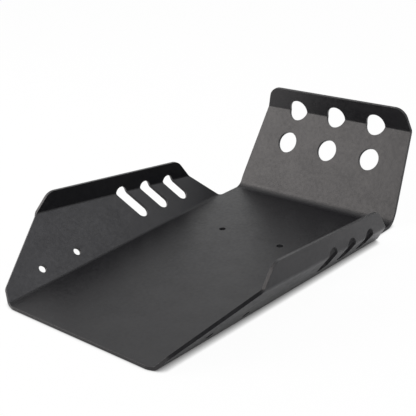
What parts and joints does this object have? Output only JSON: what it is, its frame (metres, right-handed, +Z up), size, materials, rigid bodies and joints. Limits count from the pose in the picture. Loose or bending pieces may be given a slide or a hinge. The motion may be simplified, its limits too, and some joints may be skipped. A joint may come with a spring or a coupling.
{
  "type": "motorcycle skid plate",
  "caption": "Folded sheet skid plate for a motorcycle: flat floor, splayed slotted side wings with upright lips, and a leaning vented front plate.",
  "frame": {"origin": "on the underside of the floor, midway between the two belly bolt holes", "axes": "+X towards the upturned front plate, +Y to the left of the motorcycle, +Z up, with the floor resting on Z = 0"},
  "size_m": [0.401, 0.2906, 0.113],
  "materials": {
    "powder_coat": "satin black powder coat on aluminium sheet"
  },
  "bodies": {
    "root": {"sheet": "powder_coat"}
  },
  "joints": []
}
